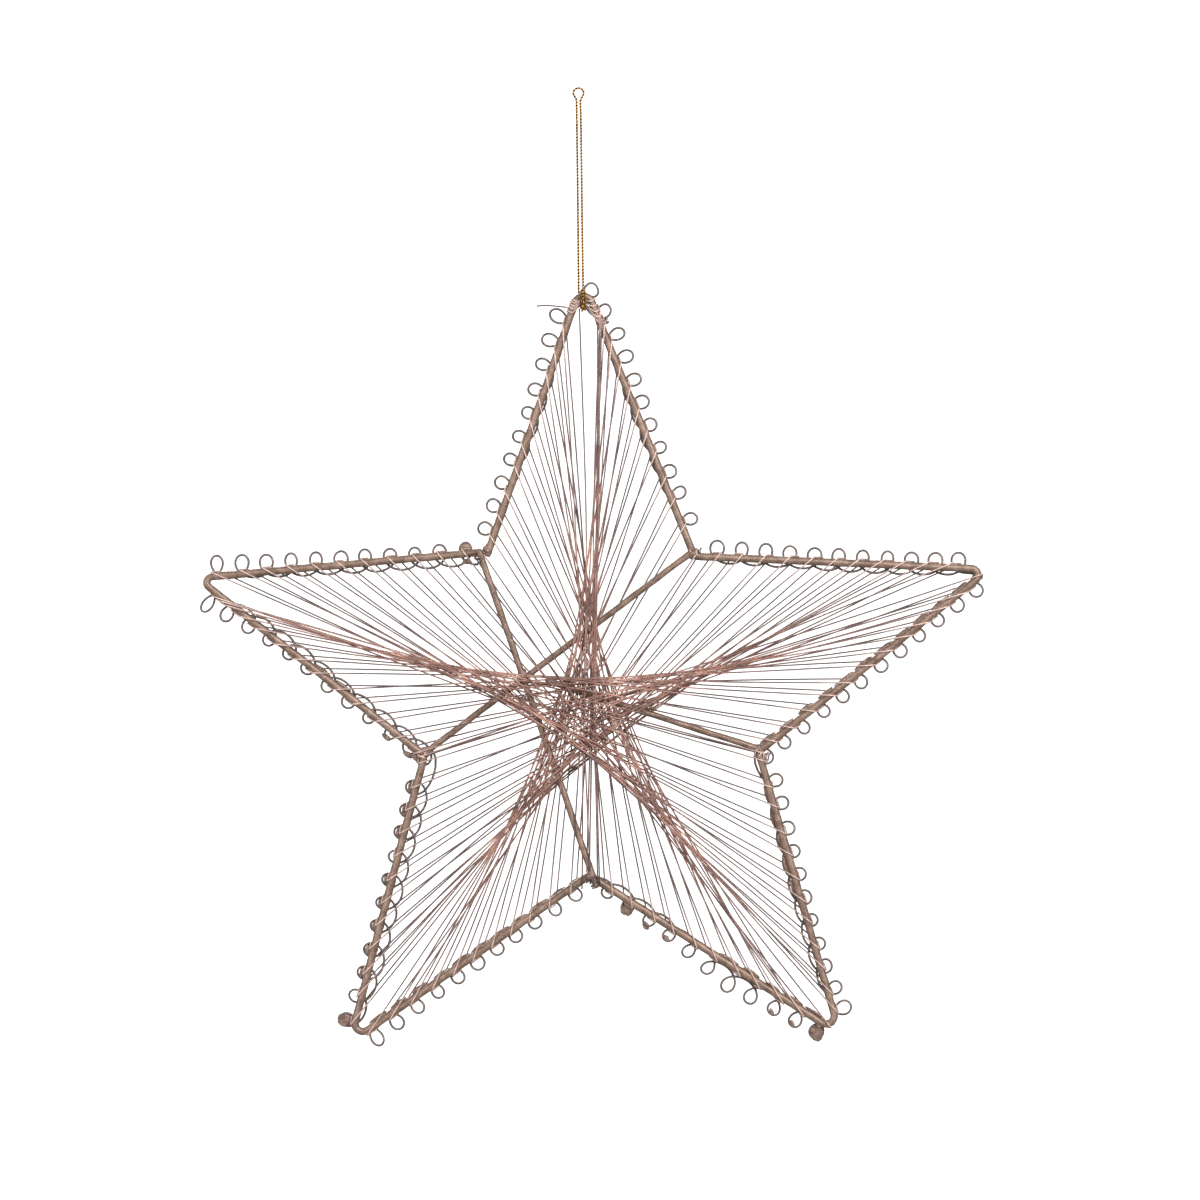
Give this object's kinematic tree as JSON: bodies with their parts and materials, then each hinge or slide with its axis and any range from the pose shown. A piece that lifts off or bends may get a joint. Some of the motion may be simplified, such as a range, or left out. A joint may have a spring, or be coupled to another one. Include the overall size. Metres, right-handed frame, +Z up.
{
  "type": "hanging wire star ornament",
  "caption": "Flat five-pointed star of painted wire with a looped edge, straight struts and fine copper-coloured wire wound across it, on a gold hanging thread.",
  "frame": {"origin": "top of the hanging thread's loop, where a hook or twig holds it", "axes": "+Z up along the hanging thread, front of the star towards -Y, +X to the right as seen from the front"},
  "size_m": [0.2102, 0.0131, 0.2584],
  "materials": {
    "frame_paint": "thin uneven champagne-bronze metallic paint on steel wire, satin",
    "trim_paint": "champagne-bronze metallic paint on thin steel wire, satin, with webs of paint in some loops",
    "copper_wire": "fine bare copper-coloured wire, bright along the wire",
    "gold_thread": "twisted gold metallic thread with small glints"
  },
  "bodies": {
    "root": {"star_frame_rod": "frame_paint", "strut_1": "frame_paint", "strut_2": "frame_paint", "strut_3": "frame_paint", "looped_trim_wire": "trim_paint", "winding_wire_1": "copper_wire", "winding_wire_2": "copper_wire", "winding_wire_3": "copper_wire", "winding_wire_4": "copper_wire", "winding_wire_5": "copper_wire", "hanging_thread": "gold_thread", "hanging_knot": "gold_thread"}
  },
  "joints": []
}
